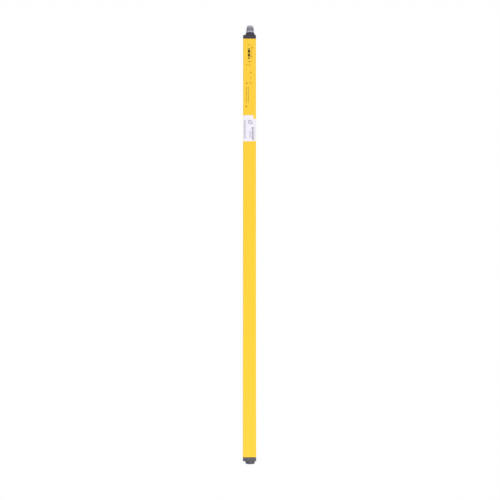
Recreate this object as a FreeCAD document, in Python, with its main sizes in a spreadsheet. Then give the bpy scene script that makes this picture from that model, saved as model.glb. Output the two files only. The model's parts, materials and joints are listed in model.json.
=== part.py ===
import FreeCAD, Part
import os
import re

import Sketcher

# Safety light curtain: one emitter bar, upright, with its plug at the top.
# Millimetres.  +Z runs up the bar, +X is the side that the beams leave, and the
# origin is on the bar's swivel axis, where a bracket bears on the lower boss.

# The dust cap's grip, and the rings hidden under it, have this many flats.
ROUND_SIDES = 24

SIZES = {
    # housing section
    "housing_depth": 48.0,
    "housing_width": 40.0,
    "pivot_forward": 2.0,
    "corner_radius": 3.0,
    "side_wall": 2.2,
    "rear_wall": 2.5,
    "slot_neck": 6.6,
    "slot_neck_depth": 2.6,
    "slot_cavity": 11.0,
    "slot_cavity_depth": 4.0,
    "slot_wall": 1.7,
    "channel_half": 2.8,
    "channel_bore": 1.35,
    "channel_side": 4.8,
    "channel_rear": 5.0,
    "channel_front": 8.2,
    "ledge_reach": 4.3,
    "ledge_thick": 1.5,
    "lip_reach": 2.8,
    "lip_thick": 1.4,
    "rail_reach": 3.0,
    "rail_thick": 1.5,
    # window
    "pane_thick": 3.0,
    "pane_side_gap": 0.3,
    "pane_end_gap": 0.5,
    "gasket_thick": 0.8,
    "gasket_width": 3.0,
    # optical modules
    "module_count": 10,
    "beam_count": 6,
    "beam_pitch": 25.0,
    "module_gap": 0.4,
    "optics_back": 18.0,
    "optics_width": 23.4,
    "optics_wall": 1.8,
    "tongue_back": 24.0,
    "tongue_thick": 2.5,
    "slide_gap": 0.2,
    "tongue_end_gap": 0.3,
    "tunnel_divider": 3.5,
    "lens_plate": 2.0,
    "lens_half": 11.4,
    "lens_rise": 0.5,
    "lens_gap": 2.6,
    "board_thick": 1.6,
    "board_inset": 0.8,
    "emitter_size": 3.6,
    "emitter_height": 1.4,
    "link_width": 9.0,
    "link_length": 14.0,
    "link_thick": 1.5,
    # control and display
    "display_length": 32.0,
    "carrier_wall": 2.2,
    "control_back": 11.0,
    "control_length": 180.0,
    "control_top_gap": 5.0,
    "ribbon_header_height": 7.0,
    "ribbon_header_thick": 5.0,
    "header_width": 18.0,
    "chip_height": 1.2,
    "coil_height": 2.6,
    "coil_size": 7.0,
    "coil_place": 10.5,
    "chip_size": 12.0,
    "chip_drop": 40.0,
    "chip_pitch": 30.0,
    "chip_rows": 3,
    "digit_place": 19.8,
    "digit_width": 10.0,
    "digit_height": 13.0,
    "digit_thick": 1.4,
    "segment_width": 1.0,
    "segment_rise": 0.2,
    "status_light": 3.0,
    "status_pitch": 5.0,
    "status_place": 7.0,
    # end caps
    "plate_thick": 14.0,
    "plate_bevel": 1.8,
    "plate_wall": 3.0,
    "seal_thick": 1.0,
    "seal_inset": 0.2,
    "boss_radius": 17.0,
    "boss_height": 11.0,
    "boss_middle": 4.5,
    "boss_bore": 12.0,
    "screw_shank": 1.3,
    "screw_head": 2.75,
    "screw_head_height": 2.4,
    "screw_grip": 6.0,
    "screw_bite": 10.0,
    "screw_drive": 1.45,
    "screw_drive_depth": 1.4,
    "hole_clearance": 0.4,
    # plug and its dust cap
    "plug_seal_thick": 1.0,
    "thread_radius": 13.0,
    "thread_length": 11.5,
    "plug_bore": 11.0,
    "plug_back_gap": 0.2,
    "plug_back_length": 20.0,
    "nut_thick": 5.0,
    "nut_corner": 15.6,
    "insert_depth": 12.0,
    "insert_height": 15.0,
    "push_gap": 0.05,
    "pin_count": 7,
    "pin_ring": 6.8,
    "pin_half": 0.6,
    "pin_rise": 6.0,
    "pin_tail": 4.0,
    "plug_board_gap": 0.3,
    "ribbon_width": 13.0,
    "ribbon_thick": 0.8,
    "ribbon_shift": 6.5,
    "ribbon_bend": 2.0,
    "cap_gap": 0.15,
    "cap_rim_radius": 15.35,
    "cap_rim_top": 7.0,
    "cap_lift": 0.3,
    "cap_base_radius": 14.3,
    "cap_tip_radius": 12.25,
    "cap_height": 28.0,
    "cap_wall": 1.4,
    "cap_bevel": 1.0,
    # stickers on the side face
    "sticker_thick": 0.15,
    "sticker_drop": 288.0,
    "sticker_height": 97.0,
    "sticker_width": 37.3,
    "sticker_inset": 1.0,
    "narrow_drop": 301.0,
    "narrow_height": 83.0,
    "narrow_width": 8.8,
    "narrow_gap": 0.2,
}

# Places that follow from the sizes, each written as a formula of their names.
PLACES = {
    "rear_x": "-(housing_depth / 2 + pivot_forward)",
    "front_x": "housing_depth / 2 - pivot_forward",
    "side_y": "housing_width / 2",
    "inner_y": "side_y - side_wall",
    "slot_floor_x": "rear_x + slot_neck_depth + slot_cavity_depth",
    "pane_front_x": "front_x - lip_thick",
    "pane_back_x": "pane_front_x - pane_thick",
    "ledge_x": "pane_back_x - gasket_thick",
    "ledge_back_x": "ledge_x - ledge_thick",
    "aperture_y": "inner_y - lip_reach",
    "ledge_y": "inner_y - ledge_reach",
    "optics_back_x": "rear_x + optics_back",
    "tongue_back_x": "rear_x + tongue_back",
    "tongue_front_x": "tongue_back_x + tongue_thick",
    "lens_back_x": "pane_back_x - lens_gap - lens_rise - lens_plate",
    "lens_plate_x": "lens_back_x + lens_plate",
    "lens_radius": "(lens_half ^ 2 + lens_rise ^ 2) / (2 * lens_rise)",
    "strip_y": "(optics_width - board_inset) / 2",
    "tongue_y": "inner_y - tongue_end_gap",
    "emitter_board_x": "optics_back_x - board_thick",
    "control_back_x": "rear_x + control_back",
    "control_front_x": "control_back_x + board_thick",
    "screw_rear_x": "rear_x + channel_rear",
    "screw_front_x": "front_x - channel_front",
    "screw_y": "side_y - channel_side",
    "module_length": "beam_count * beam_pitch",
    "profile_length": "module_count * module_length + display_length",
    "round_share": "cos(180 / %d)" % ROUND_SIDES,
    "lower_face_z": "boss_middle + plate_thick",
    "profile_z": "lower_face_z + seal_thick",
    "display_z": "profile_z + module_count * module_length",
    "profile_top_z": "profile_z + profile_length",
    "upper_face_z": "profile_top_z + seal_thick",
    "boss_end": "plate_thick + boss_height",
    "plug_z": "upper_face_z + boss_end",
    "column_radius": "screw_head + hole_clearance * 2",
    "column_y": "screw_y - column_radius",
    "pocket_rear_x": "screw_rear_x + column_radius",
    "pocket_front_x": "screw_front_x - column_radius",
    "pocket_y": "side_y - plate_wall",
    "seat_z": "screw_grip",
    "thread_top_z": "plug_seal_thick + thread_length",
    "plug_back_radius": "boss_bore - plug_back_gap",
    "plug_board_half": "plug_bore * sqrt(0.5) - plug_board_gap",
    "pin_foot_z": "-insert_depth - pin_tail",
    "plug_board_z": "pin_foot_z - board_thick",
    "control_top_z": "profile_top_z - control_top_gap",
    "ribbon_header_z": "control_top_z - ribbon_header_height",
}

doc = FreeCAD.newDocument("safety_light_curtain")
sheet = doc.addObject("Spreadsheet::Sheet", "Sizes")
for row, (alias, value) in enumerate(SIZES.items(), start=1):
    sheet.set("A%d" % row, alias)
    sheet.set("B%d" % row, str(value))
    sheet.setAlias("B%d" % row, alias)
doc.recompute()

sub_parts = []


def bind(formula):
    """Write a formula of size and place names as an expression of the sheet."""

    def swap(match):
        word = match.group(0)
        if word in PLACES:
            return "(" + bind(PLACES[word]) + ")"
        if word in SIZES:
            return "Sizes." + word
        return word

    return re.sub(r"[a-z_]+", swap, formula)


def number(formula):
    """Work a formula out."""
    return float(sheet.evalExpression(bind(formula)))


def keep(piece):
    """List a finished sub-part for writing."""
    sub_parts.append(piece)
    return piece


def new_body(label, rise="0", flipped=False, own_node=True):
    """A body whose own frame stands at height rise, turned over about X if flipped."""
    body = doc.addObject("PartDesign::Body", label)
    body.Label = label
    if flipped:
        body.Placement.Rotation = FreeCAD.Rotation(FreeCAD.Vector(1, 0, 0), 180)
    body.setExpression("Placement.Base.z", bind(rise))
    return keep(body) if own_node else body


def sketch_on(body, role, lift="0"):
    """A sketch on one of the body's origin planes, lifted along its normal."""
    sketch = body.newObject("Sketcher::SketchObject", body.Name + "_sketch")
    plane = next(f for f in body.Origin.OriginFeatures if f.Role == role)
    sketch.AttachmentSupport = [(plane, "")]
    sketch.MapMode = "FlatFace"
    sketch.setExpression("AttachmentOffset.Base.z", bind(lift))
    return sketch


def fix(sketch, kind, *where):
    """Add a constraint whose last argument is a formula, bound to the sheet."""
    formula = where[-1]
    index = sketch.addConstraint(Sketcher.Constraint(kind, *where[:-1], number(formula)))
    sketch.setExpression("Constraints[%d]" % index, bind(formula))


def polygon(sketch, points):
    """A closed outline whose corners are pairs of formulas."""
    spots = [FreeCAD.Vector(number(across), number(up), 0) for across, up in points]
    count = len(spots)
    lines = [Part.LineSegment(spots[i], spots[(i + 1) % count]) for i in range(count)]
    first = sketch.addGeometry(lines, False)[0]
    for i in range(count):
        sketch.addConstraint(Sketcher.Constraint("Coincident", first + i, 2, first + (i + 1) % count, 1))
    for i, (across, up) in enumerate(points):
        fix(sketch, "DistanceX", -1, 1, first + i, 1, across)
        fix(sketch, "DistanceY", -1, 1, first + i, 1, up)


def rectangle(sketch, left, right, low, high):
    """A rectangle between four formulas."""
    polygon(sketch, [(left, low), (right, low), (right, high), (left, high)])


def circle(sketch, across, up, radius):
    """A circle whose centre and radius are formulas."""
    centre = FreeCAD.Vector(number(across), number(up), 0)
    ring = sketch.addGeometry(Part.Circle(centre, FreeCAD.Vector(0, 0, 1), number(radius)), False)
    fix(sketch, "DistanceX", -1, 1, ring, 3, across)
    fix(sketch, "DistanceY", -1, 1, ring, 3, up)
    fix(sketch, "Radius", ring, radius)


def many_sided(sketch, across, up, corner, sides):
    """A regular outline round a point, whose corner distance is a formula."""
    turn = 360 / sides
    polygon(sketch, [("%s + (%s) * cos(%s)" % (across, corner, turn * i),
                      "%s + (%s) * sin(%s)" % (up, corner, turn * i)) for i in range(sides)])


def pad(body, sketch, length):
    """Raise a sketch along its plane's normal."""
    feature = body.newObject("PartDesign::Pad", body.Name + "_pad")
    feature.Profile = sketch
    feature.setExpression("Length", bind(length))
    return feature


def pocket(body, sketch, length):
    """Cut a sketch along its plane's normal."""
    feature = body.newObject("PartDesign::Pocket", body.Name + "_pocket")
    feature.Profile = sketch
    feature.Reversed = True
    feature.setExpression("Length", bind(length))
    return feature


def fillet(body, radius, chosen, kind="Fillet"):
    """Round, or bevel, the edges of the body's last feature that chosen accepts."""
    doc.recompute()
    base = body.Tip
    names = ["Edge%d" % (i + 1) for i, edge in enumerate(base.Shape.Edges) if chosen(edge)]
    feature = body.newObject("PartDesign::" + kind, body.Name + "_edge")
    feature.Base = (base, names)
    feature.setExpression("Radius" if kind == "Fillet" else "Size", bind(radius))
    return feature


def row_up(body, features, pitch, count):
    """Repeat features up the bar, count times in all."""
    pattern = body.newObject("PartDesign::LinearPattern", body.Name + "_row")
    pattern.Originals = features
    axis = next(f for f in body.Origin.OriginFeatures if f.Role == "Z_Axis")
    pattern.Direction = (axis, [""])
    pattern.Mode = "Spacing"
    pattern.setExpression("Offset", bind(pitch))
    pattern.setExpression("Occurrences", bind(count))
    body.Tip = pattern


def block(label, xs, ys, zs, rise="0"):
    """A plain bar, strip or board between three pairs of formulas."""
    body = new_body(label, rise)
    sketch = sketch_on(body, "YZ_Plane", xs[0])
    rectangle(sketch, ys[0], ys[1], zs[0], zs[1])
    pad(body, sketch, "(%s) - (%s)" % (xs[1], xs[0]))
    return body


def upright(edge):
    """Whether an edge is a straight one along Z."""
    box = edge.BoundBox
    return box.XLength < 1e-6 and box.YLength < 1e-6


def screw_spots():
    """The four screw axes, as pairs of formulas."""
    return [(x, y) for x in ("screw_rear_x", "screw_front_x") for y in ("screw_y", "-screw_y")]


def at_corner(edge):
    """Whether an upright edge is one of the section's four outer corners."""
    box = edge.BoundBox
    on_x = min(abs(box.XMin - number("rear_x")), abs(box.XMin - number("front_x"))) < 1e-6
    return upright(edge) and on_x and abs(abs(box.YMin) - number("side_y")) < 1e-6


def make_housing():
    """The extruded aluminium profile: chamber, rear T-slot, window seat, rails and channels."""
    body = new_body("housing_profile", "profile_z")
    outer = sketch_on(body, "XY_Plane")
    rectangle(outer, "rear_x", "front_x", "-side_y", "side_y")
    pad(body, outer, "profile_length")
    fillet(body, "corner_radius", at_corner)

    hollow = sketch_on(body, "XY_Plane")
    rectangle(hollow, "rear_x + rear_wall", "ledge_back_x", "-inner_y", "inner_y")
    pocket(body, hollow, "profile_length")
    throat = sketch_on(body, "XY_Plane")
    rectangle(throat, "ledge_back_x", "ledge_x", "-ledge_y", "ledge_y")
    pocket(body, throat, "profile_length")
    seat = sketch_on(body, "XY_Plane")
    rectangle(seat, "ledge_x", "pane_front_x", "-inner_y", "inner_y")
    pocket(body, seat, "profile_length")
    aperture = sketch_on(body, "XY_Plane")
    rectangle(aperture, "pane_front_x", "front_x", "-aperture_y", "aperture_y")
    pocket(body, aperture, "profile_length")

    bridge = sketch_on(body, "XY_Plane")
    half = "slot_cavity / 2 + slot_wall"
    rectangle(bridge, "rear_x + rear_wall / 2", "slot_floor_x + slot_wall", "-(%s)" % half, half)
    pad(body, bridge, "profile_length")
    slot = sketch_on(body, "XY_Plane")
    neck, wide = "slot_neck / 2", "slot_cavity / 2"
    shoulder = "rear_x + slot_neck_depth"
    polygon(slot, [
        ("rear_x", "-" + neck), (shoulder, "-" + neck), (shoulder, "-" + wide),
        ("slot_floor_x", "-" + wide), ("slot_floor_x", wide), (shoulder, wide),
        (shoulder, neck), ("rear_x", neck)])
    pocket(body, slot, "profile_length")

    rails = sketch_on(body, "XY_Plane")
    for back, front in (
            ("tongue_back_x - slide_gap - rail_thick", "tongue_back_x - slide_gap"),
            ("tongue_front_x + slide_gap", "tongue_front_x + slide_gap + rail_thick"),
            ("control_back_x - slide_gap - rail_thick", "control_back_x - slide_gap"),
            ("control_front_x + slide_gap", "control_front_x + slide_gap + rail_thick")):
        rectangle(rails, back, front, "inner_y - rail_reach", "inner_y + side_wall / 2")
        rectangle(rails, back, front, "-(inner_y + side_wall / 2)", "-(inner_y - rail_reach)")
    pad(body, rails, "profile_length")
    channels = sketch_on(body, "XY_Plane")
    bores = sketch_on(body, "XY_Plane")
    for x, y in screw_spots():
        rectangle(channels, x + " - channel_half", x + " + channel_half",
                  y + " - channel_half", y + " + channel_half")
        circle(bores, x, y, "channel_bore")
    pad(body, channels, "profile_length")
    pocket(body, bores, "profile_length")


def make_window():
    """The filter pane in its seat, and the two seals that it presses on."""
    low, high = "profile_z + pane_end_gap", "profile_top_z - pane_end_gap"
    edge = "inner_y - pane_side_gap"
    block("front_window", ("pane_back_x", "pane_front_x"), ("-(%s)" % edge, edge), (low, high))
    inner = "%s - gasket_width" % edge
    across = ("ledge_x", "pane_back_x")
    block("window_gasket_left", across, ("-(%s)" % edge, "-(%s)" % inner), (low, high))
    block("window_gasket_right", across, (inner, edge), (low, high))


def make_cap(label, rise, flipped, bored):
    """A moulded end cap: hollow plate, swivel boss and four sunk screw holes."""
    body = new_body(label, rise, flipped)
    plate = sketch_on(body, "XY_Plane")
    rectangle(plate, "rear_x", "front_x", "-side_y", "side_y")
    pad(body, plate, "plate_thick")
    fillet(body, "corner_radius", at_corner)
    top = number("plate_thick")
    fillet(body, "plate_bevel", lambda edge: edge.BoundBox.ZMin > top - 1e-6, "Chamfer")

    boss = sketch_on(body, "XY_Plane", "plate_thick / 2")
    circle(boss, "0", "0", "boss_radius")
    pad(body, boss, "boss_end - plate_thick / 2")

    for back, front, side in (("pocket_rear_x", "pocket_front_x", "pocket_y"),
                              ("rear_x + plate_wall", "front_x - plate_wall", "column_y")):
        inside = sketch_on(body, "XY_Plane")
        rectangle(inside, back, front, "-" + side, side)
        pocket(body, inside, "plate_thick - plate_wall")
    if bored:
        bore = sketch_on(body, "XY_Plane")
        circle(bore, "0", "0", "boss_bore")
        pocket(body, bore, "boss_end")
    holes = sketch_on(body, "XY_Plane")
    sinks = sketch_on(body, "XY_Plane", "seat_z")
    for x, y in screw_spots():
        many_sided(holes, x, y, "screw_shank + hole_clearance", 6)
        circle(sinks, x, y, "screw_head + hole_clearance")
    pocket(body, holes, "plate_thick")
    pocket(body, sinks, "plate_thick")


def make_cap_seal(label, rise, flipped):
    """The seal ring between a cap and the walls of the profile."""
    body = new_body(label, rise, flipped)
    face = sketch_on(body, "XY_Plane", "-seal_thick")
    rectangle(face, "rear_x + seal_inset", "front_x - seal_inset",
              "-(side_y - seal_inset)", "side_y - seal_inset")
    pad(body, face, "seal_thick")
    fillet(body, "corner_radius - seal_inset", upright)
    middle = sketch_on(body, "XY_Plane", "-seal_thick")
    rectangle(middle, "rear_x + side_wall", "front_x - side_wall", "-inner_y", "inner_y")
    pocket(body, middle, "seal_thick")


def make_end_screws(rise, flipped):
    """Four thread-forming screws in one cap's sinks, their lobed shanks drawn as hexagons."""
    body = new_body("end_screws", rise, flipped, own_node=False)
    body.AllowCompound = True
    heads = sketch_on(body, "XY_Plane", "seat_z")
    shanks = sketch_on(body, "XY_Plane", "-(seal_thick + screw_bite)")
    drives = sketch_on(body, "XY_Plane", "seat_z + screw_head_height - screw_drive_depth")
    for x, y in screw_spots():
        circle(heads, x, y, "screw_head")
        many_sided(shanks, x, y, "screw_shank", 6)
        many_sided(drives, x, y, "screw_drive", 6)
    pad(body, heads, "screw_head_height")
    pad(body, shanks, "seat_z + seal_thick + screw_bite")
    pocket(body, drives, "screw_drive_depth")
    return body


def optics_outline(sketch):
    """The section that the optical modules share: a block with a tongue for each rail."""
    half = "optics_width / 2"
    polygon(sketch, [
        ("optics_back_x", "-" + half), ("tongue_back_x", "-" + half),
        ("tongue_back_x", "-tongue_y"), ("tongue_front_x", "-tongue_y"),
        ("tongue_front_x", "-" + half), ("lens_back_x", "-" + half),
        ("lens_back_x", half), ("tongue_front_x", half),
        ("tongue_front_x", "tongue_y"), ("tongue_back_x", "tongue_y"),
        ("tongue_back_x", half), ("optics_back_x", half)])


def make_module():
    """The lowest optical module: its moulded beam tunnels, lens strip and board."""
    low, high = "module_gap / 2", "module_length - module_gap / 2"
    optics = new_body("optics_body_01", "profile_z")
    outline = sketch_on(optics, "XY_Plane", low)
    optics_outline(outline)
    pad(optics, outline, "module_length - module_gap")
    tunnel = sketch_on(optics, "YZ_Plane", "optics_back_x")
    mouth = "(optics_width / 2 - optics_wall)"
    rectangle(tunnel, "-" + mouth, mouth, "tunnel_divider / 2", "beam_pitch - tunnel_divider / 2")
    cut = pocket(optics, tunnel, "lens_back_x - optics_back_x")
    row_up(optics, [cut], "beam_pitch", "beam_count")
    board = block("emitter_board_01", ("emitter_board_x", "optics_back_x"),
                  ("-strip_y", "strip_y"), (low, high), "profile_z")
    return [optics, make_lens_strip(low, high), board]


def make_lens_strip(low, high):
    """The lowest lens strip: a plate with a row of convex lenses."""
    body = block("lens_strip_01", ("lens_back_x", "lens_plate_x"), ("-strip_y", "strip_y"),
                 (low, high), "profile_z")
    bow = sketch_on(body, "XZ_Plane", "-strip_y")
    ends = ["beam_pitch / 2 - lens_half", "beam_pitch / 2 + lens_half"]
    corners = [FreeCAD.Vector(number("lens_plate_x"), number(end), 0) for end in ends]
    crest = FreeCAD.Vector(number("lens_plate_x + lens_rise"), number("beam_pitch / 2"), 0)
    arc = bow.addGeometry(Part.Arc(corners[0], crest, corners[1]), False)
    chord = bow.addGeometry(Part.LineSegment(corners[1], corners[0]), False)
    for point, end in enumerate(ends, start=1):
        bow.addConstraint(Sketcher.Constraint("Coincident", arc, point, chord, 3 - point))
        fix(bow, "DistanceX", -1, 1, arc, point, "lens_plate_x")
        fix(bow, "DistanceY", -1, 1, arc, point, end)
    fix(bow, "Radius", arc, "lens_radius")
    lens = pad(body, bow, "strip_y * 2")
    row_up(body, [lens], "beam_pitch", "beam_count")
    return body


def repeat_module(first, place):
    """Set one more module above the first, at its place in the row."""
    for piece in first:
        label = piece.Label.replace("_01", "_%02d" % (place + 1))
        copy = doc.addObject("Part::Compound", label)
        copy.Label = label
        copy.Links = [piece]
        copy.setExpression("Placement.Base.z", bind("module_length * %d" % place))
        keep(copy)


def make_emitters():
    """An infrared diode at the root of every beam tunnel, soldered to the boards."""
    body = new_body("infrared_emitters", "profile_z + beam_pitch / 2")
    body.AllowCompound = True
    base = sketch_on(body, "YZ_Plane", "optics_back_x")
    half = "emitter_size / 2"
    rectangle(base, "-" + half, half, "-" + half, half)
    case = pad(body, base, "emitter_height")
    row_up(body, [case], "beam_pitch", "module_count * beam_count")


def make_board_links():
    """The plug-in bridges that join each emitter board to the next."""
    body = new_body("board_links", "profile_z + module_length")
    body.AllowCompound = True
    face = sketch_on(body, "YZ_Plane", "emitter_board_x - link_thick")
    rectangle(face, "-link_width / 2", "link_width / 2", "-link_length / 2", "link_length / 2")
    bridge = pad(body, face, "link_thick")
    row_up(body, [bridge], "module_length", "module_count - 1")


def make_controls():
    """The control board in its rails, with its parts and its two plug headers."""
    block("control_board", ("control_back_x", "control_front_x"), ("-tongue_y", "tongue_y"),
          ("control_top_z - control_length", "control_top_z"))
    block("control_header", ("control_front_x", "emitter_board_x"),
          ("-header_width / 2", "header_width / 2"),
          ("display_z - beam_pitch", "display_z - beam_pitch + ribbon_header_height"))
    block("ribbon_header", ("control_front_x", "control_front_x + ribbon_header_thick"),
          ("-header_width / 2", "header_width / 2"), ("ribbon_header_z", "control_top_z"))

    body = new_body("control_components")
    body.AllowCompound = True
    chips = sketch_on(body, "YZ_Plane", "control_front_x")
    coils = sketch_on(body, "YZ_Plane", "control_front_x")
    half = "chip_size / 2"
    reach = "coil_size / 2"
    for row in range(SIZES["chip_rows"]):
        centre = "display_z - chip_drop - chip_pitch * %d" % row
        rectangle(chips, "-" + half, half, centre + " - " + half, centre + " + " + half)
        for across in ("coil_place", "-coil_place"):
            rectangle(coils, across + " - " + reach, across + " + " + reach,
                      centre + " - " + reach, centre + " + " + reach)
    pad(body, chips, "chip_height")
    pad(body, coils, "coil_height")


def make_display():
    """The display block above the modules: carrier, board, digit and status lights."""
    low, high = "display_z + module_gap / 2", "profile_top_z - module_gap"
    half = "optics_width / 2"
    carrier = new_body("display_carrier")
    outline = sketch_on(carrier, "XY_Plane", low)
    optics_outline(outline)
    pad(carrier, outline, "(%s) - (%s)" % (high, low))
    hollow = sketch_on(carrier, "YZ_Plane", "optics_back_x")
    rectangle(hollow, "-(%s - carrier_wall)" % half, "%s - carrier_wall" % half,
              low + " + carrier_wall", high + " - carrier_wall")
    pocket(carrier, hollow, "lens_back_x - optics_back_x - carrier_wall")

    edge = "%s - board_inset" % half
    front = "lens_back_x + board_thick"
    block("display_board", ("lens_back_x", front), ("-(%s)" % edge, edge),
          (low + " + board_inset", high + " - board_inset"))
    make_digit(front, "display_z + digit_place")
    lights = new_body("status_lights")
    lights.AllowCompound = True
    faces = sketch_on(lights, "YZ_Plane", front)
    centre = "display_z + status_place"
    for place in (-1, 0, 1):
        across = "status_pitch * %d" % place
        rectangle(faces, across + " - status_light / 2", across + " + status_light / 2",
                  centre + " - status_light / 2", centre + " + status_light / 2")
    pad(lights, faces, "digit_thick")


def make_digit(front, centre):
    """A seven-segment digit: a block whose bars stand a little proud."""
    body = new_body("seven_segment_display")
    case = sketch_on(body, "YZ_Plane", front)
    rectangle(case, "-digit_width / 2", "digit_width / 2",
              centre + " - digit_height / 2", centre + " + digit_height / 2")
    pad(body, case, "digit_thick")
    bars = sketch_on(body, "YZ_Plane", front + " + digit_thick")
    out, tall = "(digit_width / 2 - segment_width * 2)", "(digit_height / 2 - segment_width * 2)"
    for level in (-1, 0, 1):
        middle = "%s + %s * %d" % (centre, tall, level)
        rectangle(bars, "-%s + segment_width" % out, "%s - segment_width" % out,
                  middle + " - segment_width / 2", middle + " + segment_width / 2")
    for side in (-1, 1):
        across = "%s * %d" % (out, side)
        for level in (-0.5, 0.5):
            middle = "%s + %s * %s" % (centre, tall, level)
            reach = "(%s / 2 - segment_width)" % tall
            rectangle(bars, across + " - segment_width / 2", across + " + segment_width / 2",
                      middle + " - " + reach, middle + " + " + reach)
    pad(body, bars, "segment_rise")


def make_plug():
    """The round plug in the upper boss, from its shell to the board behind it."""
    shell = new_body("plug_shell", "plug_z")
    back = sketch_on(shell, "XY_Plane", "-plug_back_length")
    many_sided(back, "0", "0", "plug_back_radius", ROUND_SIDES)
    pad(shell, back, "plug_back_length + thread_top_z")
    collar = sketch_on(shell, "XY_Plane", "plug_seal_thick")
    circle(collar, "0", "0", "thread_radius")
    pad(shell, collar, "thread_length")
    bore = sketch_on(shell, "XY_Plane", "-plug_back_length")
    many_sided(bore, "0", "0", "plug_bore", ROUND_SIDES)
    pocket(shell, bore, "plug_back_length + thread_top_z")

    seal = new_body("plug_seal", "plug_z")
    ring = sketch_on(seal, "XY_Plane")
    many_sided(ring, "0", "0", "thread_radius", ROUND_SIDES)
    many_sided(ring, "0", "0", "boss_bore", ROUND_SIDES)
    pad(seal, ring, "plug_seal_thick")

    nut = new_body("plug_lock_nut", "plug_z")
    flats = sketch_on(nut, "XY_Plane", "-(boss_end - plate_thick + plate_wall + nut_thick)")
    many_sided(flats, "0", "0", "nut_corner", 6)
    many_sided(flats, "0", "0", "plug_back_radius + push_gap", ROUND_SIDES)
    pad(nut, flats, "nut_thick")

    insert = new_body("plug_insert", "plug_z")
    core = sketch_on(insert, "XY_Plane", "-insert_depth")
    many_sided(core, "0", "0", "plug_bore - push_gap", ROUND_SIDES)
    pad(insert, core, "insert_height")
    holes = sketch_on(insert, "XY_Plane", "-insert_depth")
    pins = new_body("plug_pins", "plug_z")
    pins.AllowCompound = True
    rods = sketch_on(pins, "XY_Plane", "pin_foot_z")
    for x, y in pin_spots():
        for outline, half in ((holes, "(pin_half + push_gap)"), (rods, "pin_half")):
            rectangle(outline, x + " - " + half, x + " + " + half,
                      y + " - " + half, y + " + " + half)
    pocket(insert, holes, "insert_height")
    pad(pins, rods, "pin_tail + insert_height + pin_rise")

    board = new_body("plug_board", "plug_z")
    square = sketch_on(board, "XY_Plane", "plug_board_z")
    half = "plug_board_half"
    rectangle(square, "-" + half, half, "-" + half, half)
    pad(board, square, "board_thick")


def pin_spots():
    """The plug's pin axes: a ring and one in the middle."""
    count = SIZES["pin_count"]
    ring = [("pin_ring * cos(360 / %d * %d)" % (count, i), "pin_ring * sin(360 / %d * %d)" % (count, i))
            for i in range(count)]
    return ring + [("0", "0")]


def make_ribbon():
    """The flat lead from the control board up into the back of the plug."""
    body = new_body("ribbon_lead")
    band = sketch_on(body, "XZ_Plane", "-ribbon_width / 2")
    low, high = "control_top_z", "plug_z + plug_board_z"
    near = "control_front_x + ribbon_header_thick / 2"
    far = near + " + ribbon_shift"
    knee = "profile_top_z"
    hip = "plug_z - plug_back_length"
    polygon(band, [
        (near, low), (near + " + ribbon_thick", low), (near + " + ribbon_thick", knee),
        (far + " + ribbon_thick", hip), (far + " + ribbon_thick", high), (far, high),
        (far, hip), (near, knee)])
    pad(body, band, "ribbon_width")
    ends = (number(low), number(high))

    def at_bend(edge):
        box = edge.BoundBox
        clear = min(abs(box.ZMin - end) for end in ends) > 1e-6
        return box.YLength > number("ribbon_width") / 2 and box.ZLength < 1e-6 and clear

    fillet(body, "ribbon_bend", at_bend)


def make_dust_cap():
    """The soft cap pushed over the plug: a tapered body with grip flats, and its bead."""
    body = new_body("dust_cap", "plug_z")
    grip = sketch_on(body, "XY_Plane", "cap_rim_top")
    many_sided(grip, "0", "0", "cap_base_radius", ROUND_SIDES)
    taper = pad(body, grip, "cap_height - cap_rim_top")
    taper.setExpression("TaperAngle", bind(
        "-atan((cap_base_radius - cap_tip_radius) * round_share / (cap_height - cap_rim_top))"))
    crown = number("cap_height")
    fillet(body, "cap_bevel", lambda edge: edge.BoundBox.ZMin > crown - 1e-6, "Chamfer")

    bead = sketch_on(body, "XY_Plane", "cap_lift")
    circle(bead, "0", "0", "cap_rim_radius")
    pad(body, bead, "cap_rim_top - cap_lift")
    for corner, top in (("(thread_radius + cap_gap) / round_share", "thread_top_z"),
                        ("cap_tip_radius - cap_wall", "cap_height - cap_wall")):
        bore = sketch_on(body, "XY_Plane", "cap_lift")
        many_sided(bore, "0", "0", corner, ROUND_SIDES)
        pocket(body, bore, "%s - cap_lift" % top)


def make_stickers():
    """Two paper labels side by side on the plain side face."""
    face = ("-(side_y + sticker_thick)", "-side_y")
    left = "rear_x + sticker_inset"
    right = left + " + sticker_width"
    top = "profile_top_z - sticker_drop"
    block("wide_sticker", (left, right), face, (top + " - sticker_height", top))
    start = right + " + narrow_gap"
    top = "profile_top_z - narrow_drop"
    block("narrow_sticker", (start, start + " + narrow_width"), face,
          (top + " - narrow_height", top))


make_housing()
make_window()
cap_screws = doc.addObject("Part::Compound", "cap_screws")
cap_screws.Label = "cap_screws"
for end, rise, flipped in (("lower", "lower_face_z", True), ("upper", "upper_face_z", False)):
    make_cap(end + "_end_cap", rise, flipped, bored=not flipped)
    make_cap_seal(end + "_cap_seal", rise, flipped)
    cap_screws.Links = cap_screws.Links + [make_end_screws(rise, flipped)]
keep(cap_screws)
first_module = make_module()
for place in range(1, SIZES["module_count"]):
    repeat_module(first_module, place)
make_emitters()
make_board_links()
make_controls()
make_display()
make_plug()
make_ribbon()
make_dust_cap()
make_stickers()
doc.recompute()

for item in doc.Objects:
    if {"Invalid", "Error"} & set(item.State):
        raise RuntimeError("%s did not build: %s" % (item.Label, item.State))
for piece in sub_parts:
    if piece.Shape.isNull() or not piece.Shape.isValid():
        raise RuntimeError("%s has no sound shape" % piece.Label)

os.makedirs("parts", exist_ok=True)
for piece in sub_parts:
    piece.Shape.exportStep("parts/%s.step" % piece.Label)
print("%d sub-parts written" % len(sub_parts))
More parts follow.
